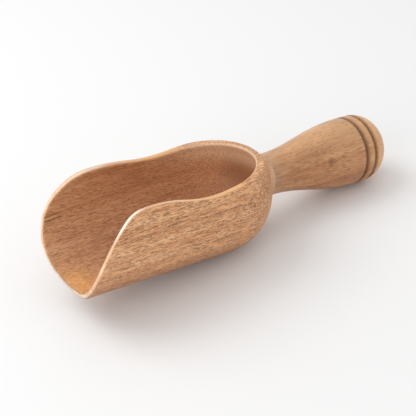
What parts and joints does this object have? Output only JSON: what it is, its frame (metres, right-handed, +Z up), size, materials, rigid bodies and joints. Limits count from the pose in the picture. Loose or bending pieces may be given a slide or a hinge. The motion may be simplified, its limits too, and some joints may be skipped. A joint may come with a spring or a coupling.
{
  "type": "wooden scoop",
  "caption": "Turned wooden kitchen scoop with an open, wave-edged bowl and a swelling handle glued on behind it, ringed by burnt grooves.",
  "frame": {"origin": "on the floor under the middle of the length, as the scoop rests on its belly and butt", "axes": "+X along the length towards the handle, +Z up, so the turning axis falls about 8 degrees towards the handle"},
  "size_m": [0.1524, 0.05, 0.0435],
  "materials": {
    "bowl_wood": "open-pored orange-brown hardwood, sanded and lightly oiled, with short dark pores along the grain",
    "handle_wood": "the same oiled hardwood with a finer, streaky figure, its grooves burnt dark brown"
  },
  "bodies": {
    "root": {"bowl": "bowl_wood", "handle": "handle_wood"}
  },
  "joints": []
}
